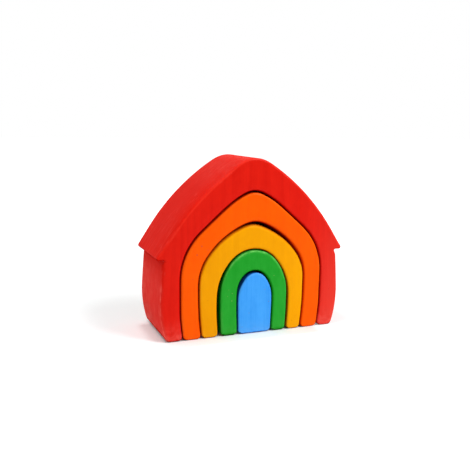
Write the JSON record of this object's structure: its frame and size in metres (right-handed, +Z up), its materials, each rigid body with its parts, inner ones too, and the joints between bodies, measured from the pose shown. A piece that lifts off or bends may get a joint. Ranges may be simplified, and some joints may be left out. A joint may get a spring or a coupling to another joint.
{
  "type": "rainbow house stacker",
  "caption": "Nested wooden stacking toy: a red house with a bowed roof and notched eaves around loose orange, yellow and green arches and a blue door, each sliding out of the next.",
  "frame": {"origin": "on the floor, at the middle of the house's footprint box", "axes": "+X to the right along the house's width, +Y from the front faces to the back faces, +Z up"},
  "size_m": [0.1574, 0.06, 0.14],
  "materials": {
    "red_wood": "translucent red dye, satin wax, vertical grain",
    "orange_wood": "translucent orange dye, satin wax, vertical grain",
    "yellow_wood": "translucent amber-yellow dye, satin wax, vertical grain",
    "green_wood": "translucent green dye, satin wax, vertical grain",
    "blue_wood": "translucent sky-blue dye, satin wax, vertical grain"
  },
  "bodies": {
    "house": {"red_house": "red_wood"},
    "orange": {"orange_arch": "orange_wood"},
    "yellow": {"yellow_arch": "yellow_wood"},
    "green": {"green_arch": "green_wood"},
    "door": {"blue_door": "blue_wood"}
  },
  "joints": [
    {"name": "orange_slide", "type": "slide", "parent": "house", "child": "orange", "axis": [0, 1, 0], "range_m": [-0.065, 0.065]},
    {"name": "yellow_slide", "type": "slide", "parent": "orange", "child": "yellow", "axis": [0, 1, 0], "range_m": [-0.065, 0.065]},
    {"name": "green_slide", "type": "slide", "parent": "yellow", "child": "green", "axis": [0, 1, 0], "range_m": [-0.065, 0.065]},
    {"name": "door_slide", "type": "slide", "parent": "green", "child": "door", "axis": [0, 1, 0], "range_m": [-0.065, 0.065]}
  ]
}
